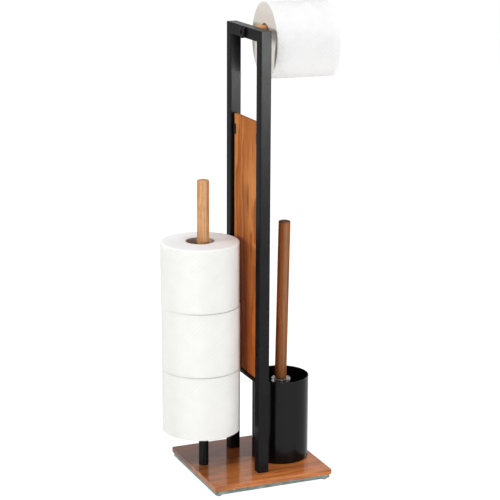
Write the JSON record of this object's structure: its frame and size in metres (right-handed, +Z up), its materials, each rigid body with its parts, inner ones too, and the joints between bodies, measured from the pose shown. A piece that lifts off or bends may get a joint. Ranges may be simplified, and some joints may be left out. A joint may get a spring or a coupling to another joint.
{
  "type": "toilet butler stand",
  "caption": "Free-standing toilet paper holder and spare roll store with a wooden back panel, glass-backed wooden base and a long-handled brush in a round container.",
  "frame": {"origin": "on the floor under the middle of the frame", "axes": "+Z up; +X along the base from the spare rolls to the brush container; +Y away from the viewer, across the frame"},
  "size_m": [0.2708, 0.186, 0.7354],
  "materials": {
    "black_coat": "satin black powder coat",
    "panel_wood": "orange-brown acacia with vertical grain, oiled",
    "base_wood": "high-gloss lacquered, dark streaked grain",
    "glass": "clear with green edge, polished",
    "foot": "clear soft bumper",
    "dowel": "oiled orange dowel",
    "handle": "oiled red-brown dowel",
    "clip": "fine matt black",
    "steel": "zinc plated",
    "brass": "turned",
    "paper": "soft embossed tissue",
    "board": "grey-brown board",
    "grey_plastic": "pale translucent grey",
    "bristle": "pale nylon bristles"
  },
  "bodies": {
    "stand": {"base_wood_plate": "base_wood", "base_glass_plate": "glass", "base_foot_1": "foot", "base_foot_2": "foot", "base_foot_3": "foot", "base_foot_4": "foot", "upright_front": "black_coat", "upright_rear": "black_coat", "crossbar": "black_coat", "panel_rail": "black_coat", "upright_nut_front": "steel", "upright_nut_rear": "steel", "upright_front_bolt": "steel", "upright_front_washer": "steel", "upright_rear_bolt": "steel", "upright_rear_washer": "steel", "back_panel": "panel_wood", "rail_screw_front": "black_coat", "rail_screw_rear": "black_coat", "panel_clip_front": "clip", "panel_clip_rear": "clip", "clip_screw_front": "steel", "clip_screw_rear": "steel", "roll_arm": "dowel", "arm_insert": "brass", "arm_bolt": "black_coat", "post_tube": "black_coat", "roll_seat_disc": "black_coat", "spare_rod": "dowel", "spare_rod_insert": "brass", "post_bolt": "steel", "post_washer": "steel"},
    "spare_roll_low": {"spare_roll_paper_1": "paper", "spare_roll_core_1": "board"},
    "spare_roll_middle": {"spare_roll_paper_2": "paper", "spare_roll_core_2": "board"},
    "spare_roll_upper": {"spare_roll_paper_3": "paper", "spare_roll_core_3": "board"},
    "top_roll": {"top_roll_paper": "paper", "top_roll_core": "board"},
    "container": {"brush_container": "black_coat"},
    "brush": {"brush_handle": "handle", "brush_insert": "brass", "brush_stud": "steel", "brush_head_core": "grey_plastic", "brush_bristles": "bristle"}
  },
  "joints": [
    {"name": "roll_low_lift", "type": "slide", "parent": "stand", "child": "spare_roll_low", "axis": [0, 0, 1], "range_m": [0, 0.4]},
    {"name": "roll_middle_lift", "type": "slide", "parent": "spare_roll_low", "child": "spare_roll_middle", "axis": [0, 0, 1], "range_m": [0, 0.3]},
    {"name": "roll_upper_lift", "type": "slide", "parent": "spare_roll_middle", "child": "spare_roll_upper", "axis": [0, 0, 1], "range_m": [0, 0.2]},
    {"name": "top_roll_spin", "type": "hinge", "parent": "stand", "child": "top_roll", "pos_m": [0.0755, 0, 0.67759], "axis": [0.9972, -0.075, 0], "continuous": true},
    {"name": "container_lift", "type": "slide", "parent": "stand", "child": "container", "axis": [0, 0, 1], "range_m": [0, 0.05]},
    {"name": "brush_lift", "type": "slide", "parent": "container", "child": "brush", "axis": [0.0175, 0, 0.9998], "range_m": [0, 0.16]}
  ]
}
